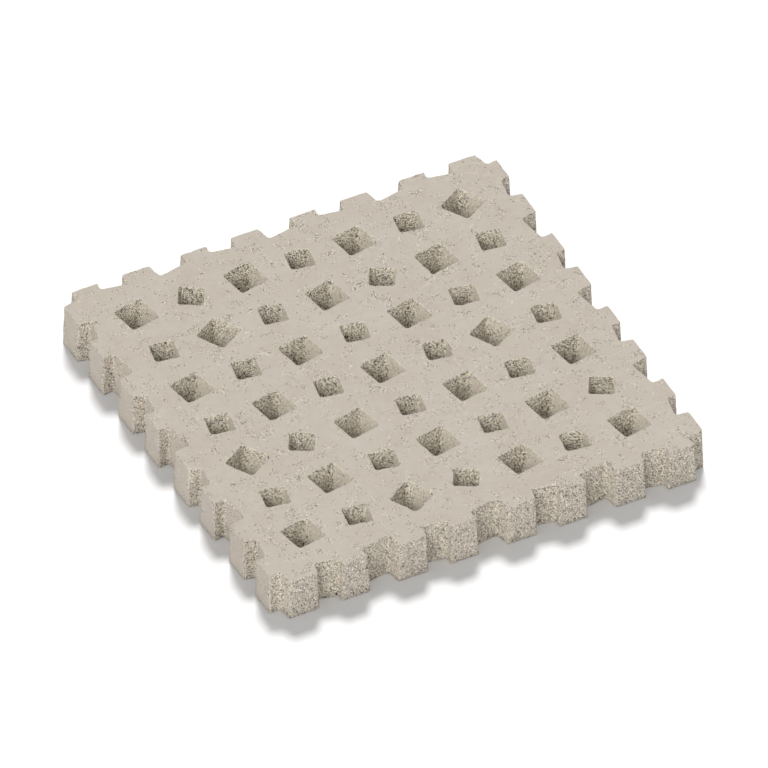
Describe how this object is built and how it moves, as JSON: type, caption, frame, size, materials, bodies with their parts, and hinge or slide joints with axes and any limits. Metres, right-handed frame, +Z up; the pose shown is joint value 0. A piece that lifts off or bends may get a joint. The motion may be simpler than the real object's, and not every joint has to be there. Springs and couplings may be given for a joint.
{
  "type": "concrete paving slab",
  "caption": "Square concrete grass paving slab, pierced by a chequerboard of large and small square holes turned a little, with half holes along its edges",
  "frame": {"origin": "centre of the underside, in the plane that the slab lies on", "axes": "+Z up through the thickness from the underside to the top face; +X and +Y along the two square directions of the slab"},
  "size_m": [0.599, 0.599, 0.06],
  "materials": {
    "concrete": "rough, fine-grained beige-grey concrete"
  },
  "bodies": {
    "root": {"paving_slab": "concrete"}
  },
  "joints": []
}
